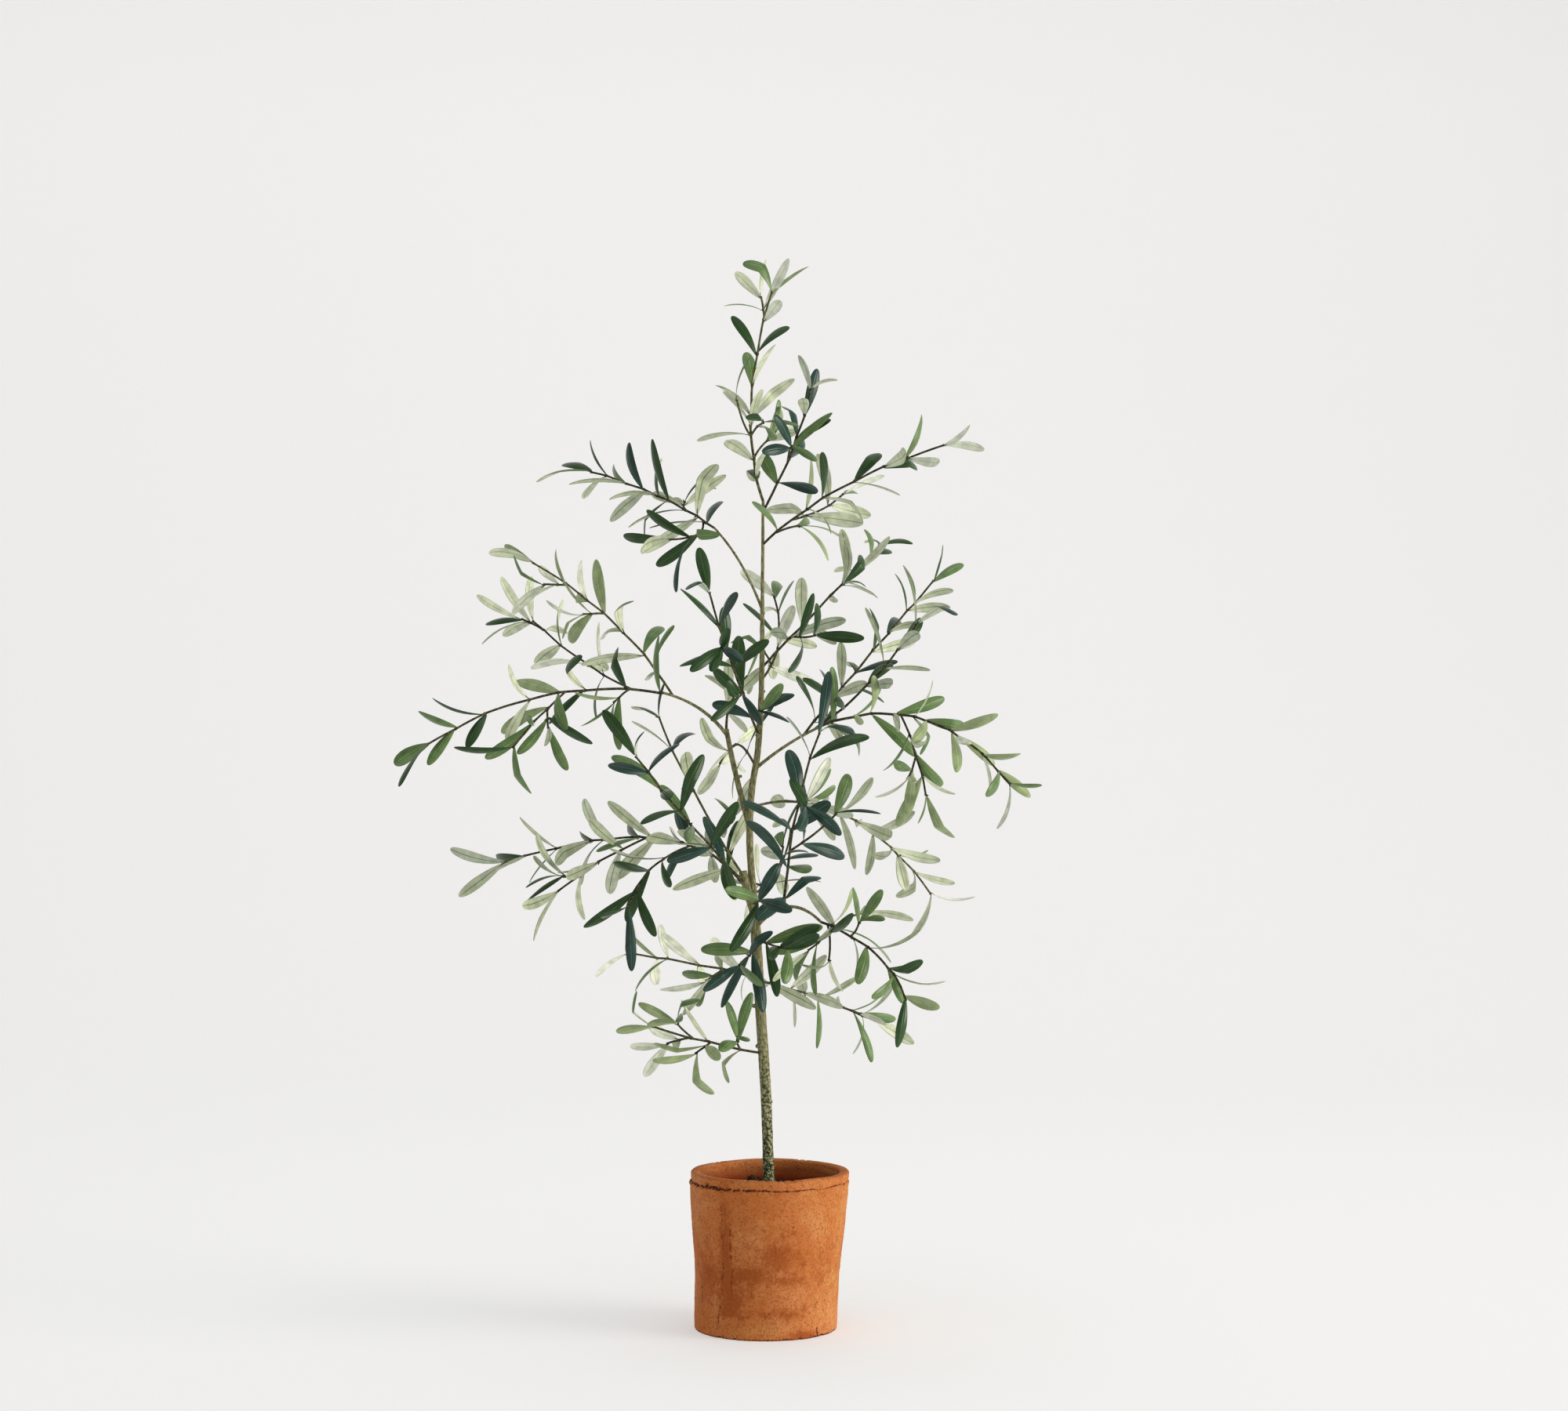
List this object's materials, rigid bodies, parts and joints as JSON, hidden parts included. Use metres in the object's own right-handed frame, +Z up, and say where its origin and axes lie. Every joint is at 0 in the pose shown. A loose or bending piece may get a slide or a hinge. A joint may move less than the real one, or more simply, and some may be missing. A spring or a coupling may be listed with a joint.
{
  "type": "artificial olive tree in a pot",
  "caption": "Slender artificial olive tree with a bare lower trunk, thin arching boughs and open sprays of paired narrow leaves, standing in a plain terracotta pot, to decorate a room.",
  "frame": {"origin": "middle of the pot's flat underside, which stands on the floor", "axes": "+Z up along the tree; the picture looks along +Y, so +X is to the viewer's right and -Y is towards the viewer"},
  "size_m": [0.8977, 0.5979, 1.5297],
  "materials": {
    "terracotta": "matt fired clay, weathered and blotched",
    "soil": "dark loose crumbs",
    "bark": "rough moulded bark, khaki with green and pale specks",
    "foliage": "satin green leaves, paler underneath"
  },
  "bodies": {
    "root": {"pot": "terracotta", "soil": "soil", "trunk": "bark", "second_stem": "bark", "left_arch": "bark", "right_arch": "bark", "upper_left_bough": "bark", "low_right_bough": "bark", "cut_stub": "bark", "back_low_spray": "foliage", "back_mid_spray": "foliage", "back_upper_spray": "foliage", "far_left_spray": "foliage", "fork_right_spray": "foliage", "front_left_spray": "foliage", "front_rosette_spray": "foliage", "front_upper_spray": "foliage", "inner_left_spray": "foliage", "leader_spray": "foliage", "left_long_spray": "foliage", "left_upper_spray": "foliage", "low_back_left_spray": "foliage", "low_back_right_spray": "foliage", "low_front_left_spray": "foliage", "low_front_right_spray": "foliage", "low_left_spray": "foliage", "low_right_spray": "foliage", "mid_right_spray": "foliage", "right_long_spray": "foliage", "right_mid_spray": "foliage", "right_up_spray": "foliage", "right_upper_spray": "foliage", "second_top_spray": "foliage", "upper_left_spray": "foliage", "upper_right_spray": "foliage", "upright_spray": "foliage"}
  },
  "joints": []
}
